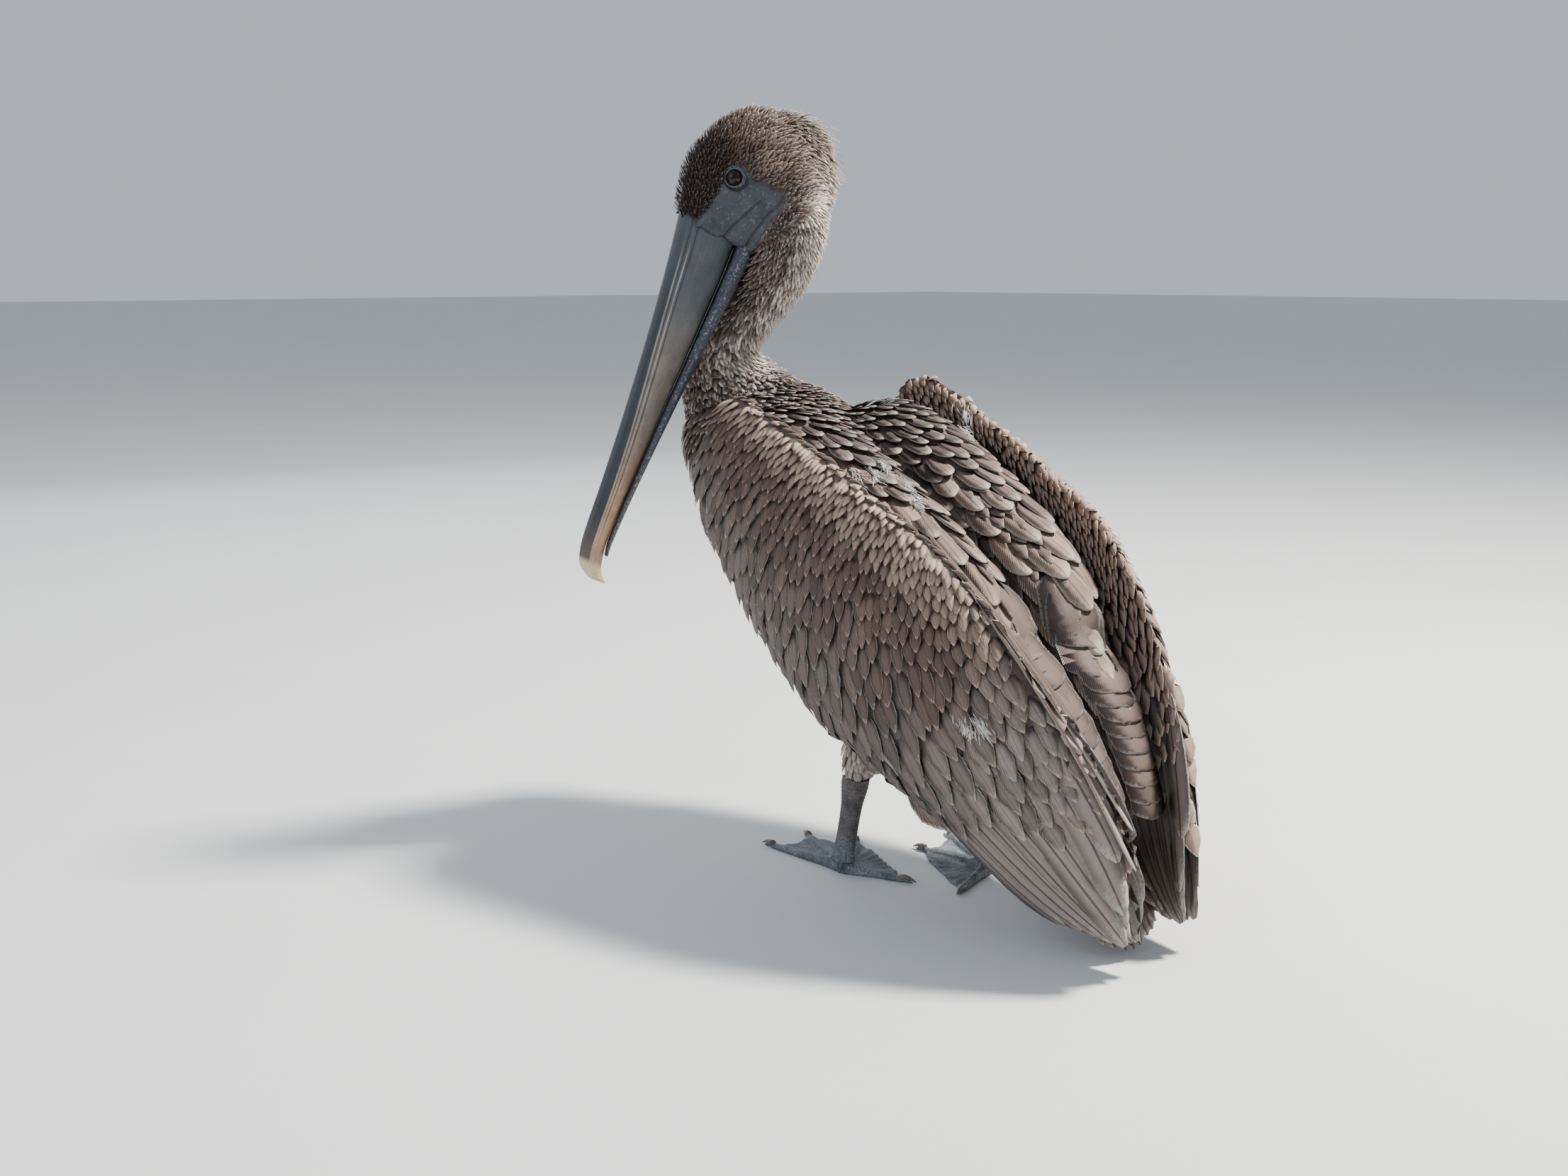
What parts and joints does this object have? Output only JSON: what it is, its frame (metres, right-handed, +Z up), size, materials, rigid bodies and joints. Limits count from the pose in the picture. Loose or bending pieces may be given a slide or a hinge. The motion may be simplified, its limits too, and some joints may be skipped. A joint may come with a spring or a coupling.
{
  "type": "brown pelican",
  "caption": "Life-size still model of a young brown pelican standing with folded wings, its head turned to its left and its long bill pointing down.",
  "frame": {"origin": "On the ground, under the middle of the whole bird's box.", "axes": "+Z is up, the trunk faces -Y, and the bird's left side is +X."},
  "size_m": [0.3286, 0.5688, 0.6846],
  "materials": {
    "brown_feather": "matte feathers, brown with paler tips",
    "grey_feather": "matte flight feathers, grey-brown with pale edges",
    "pale_feather": "soft pale feathers and down",
    "bill_horn": "satin slate-blue horn",
    "leg_skin": "scaly slate-grey skin",
    "face_skin": "wrinkled bare blue-grey skin",
    "eye_gloss": "wet gloss"
  },
  "bodies": {
    "root": {"trunk": "brown_feather", "neck_lower": "pale_feather", "neck_upper": "pale_feather", "head": "brown_feather", "bill_upper": "bill_horn", "bill_lower": "bill_horn", "eye_left": "eye_gloss", "eye_right": "eye_gloss", "wing_left": "brown_feather", "wing_right": "brown_feather", "primaries_left": "grey_feather", "primaries_right": "grey_feather", "scapulars_left": "brown_feather", "scapulars_right": "brown_feather", "secondaries_left": "grey_feather", "secondaries_right": "grey_feather", "tail": "grey_feather", "thigh_left": "pale_feather", "thigh_right": "pale_feather", "leg_left": "leg_skin", "leg_right": "leg_skin", "foot_left": "leg_skin", "foot_right": "leg_skin"}
  },
  "joints": []
}
